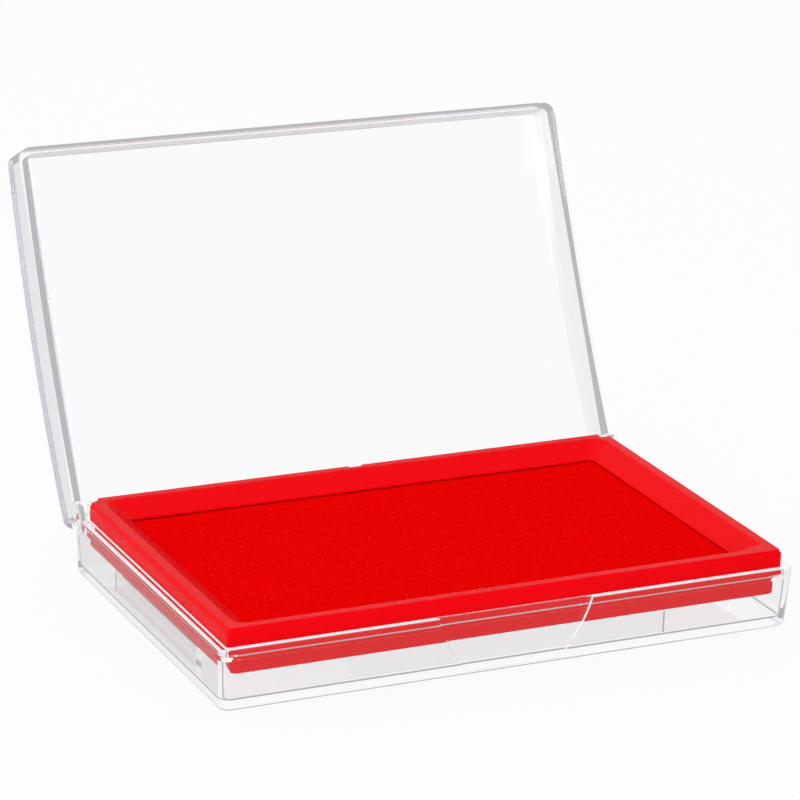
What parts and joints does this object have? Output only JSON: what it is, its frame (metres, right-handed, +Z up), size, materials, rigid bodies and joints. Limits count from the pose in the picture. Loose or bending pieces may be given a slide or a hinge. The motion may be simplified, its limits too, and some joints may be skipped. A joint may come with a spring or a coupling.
{
  "type": "stamp pad",
  "caption": "Rectangular stamp pad: a red cloth ink surface in a red frame and tray, inside a clear case whose crowned lid stands open on its hinge.",
  "frame": {"origin": "centre of the lower case's flat underside", "axes": "+X along the case's length, +Y from the thumb scoop to the hinge, +Z up out of the pad"},
  "size_m": [0.138, 0.1325, 0.0904],
  "materials": {
    "clear_plastic": "clear polished polystyrene",
    "red_plastic": "satin red",
    "ink_cloth": "fine cloth damp with red ink",
    "ink_felt": "felt damp with red ink",
    "ink_foam": "foam damp with red ink"
  },
  "bodies": {
    "base": {"lower_case": "clear_plastic", "pad_tray": "red_plastic", "pad_frame": "red_plastic", "ink_sponge": "ink_foam", "wick_felt": "ink_felt", "pad_cloth": "ink_cloth"},
    "lid": {"lid": "clear_plastic"}
  },
  "joints": [
    {"name": "lid_hinge", "type": "hinge", "parent": "base", "child": "lid", "pos_m": [0, 0.042, 0.0138], "axis": [1, 0, 0], "range_deg": [0, 116.5]}
  ]
}
